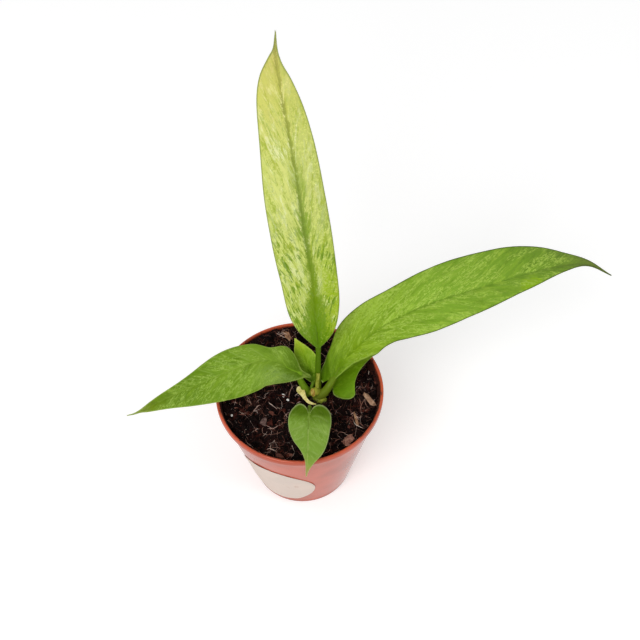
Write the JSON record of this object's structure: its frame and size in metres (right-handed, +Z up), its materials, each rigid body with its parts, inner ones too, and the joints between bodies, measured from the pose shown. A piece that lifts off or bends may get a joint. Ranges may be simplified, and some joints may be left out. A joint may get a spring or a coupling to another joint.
{
  "type": "potted anthurium seedling",
  "caption": "Young anthurium with long variegated leaves in a tapered plastic nursery pot of chunky soil with a paper label.",
  "frame": {"origin": "centre of the pot's flat underside", "axes": "+Z up along the pot's axis, -Y towards the front, which is the side of the small heart-shaped leaf; the long arching leaf reaches towards +X"},
  "size_m": [0.2504, 0.1346, 0.2317],
  "materials": {
    "pot_plastic": "terracotta orange plastic, satin gloss",
    "label_paper": "cream paper, matt",
    "soil_mix": "damp dark brown coir and peat, very rough",
    "stem_crown": "olive green stem, slightly rough",
    "stalk_green": "smooth green stalk, satin",
    "leaf_pale": "cream yellow leaf with green flecks, satin",
    "leaf_green": "mid green leaf with pale flecks, satin",
    "leaf_dark": "green leaf, satin",
    "dry_growth": "dry straw yellow plant fibre, matt",
    "bark": "dry bark and wood, matt",
    "perlite": "white porous grain, matt"
  },
  "bodies": {
    "root": {"pot": "pot_plastic", "pot_label": "label_paper", "soil": "soil_mix", "crown_stem": "stem_crown", "stalk_tall": "stalk_green", "stalk_right": "stalk_green", "stalk_left": "stalk_green", "stalk_front": "stalk_green", "stalk_young": "stalk_green", "leaf_tall": "leaf_pale", "leaf_right": "leaf_green", "leaf_left": "leaf_dark", "leaf_front": "leaf_dark", "leaf_young": "leaf_dark", "cut_stalk_stub": "dry_growth", "old_sheath": "dry_growth", "dry_cataphyll": "dry_growth", "wood_splinter": "bark", "bark_chip_front": "bark", "bark_chip_back": "bark", "bark_chip_left": "bark", "twig_right": "bark", "perlite_1": "perlite", "perlite_2": "perlite", "perlite_3": "perlite"}
  },
  "joints": []
}
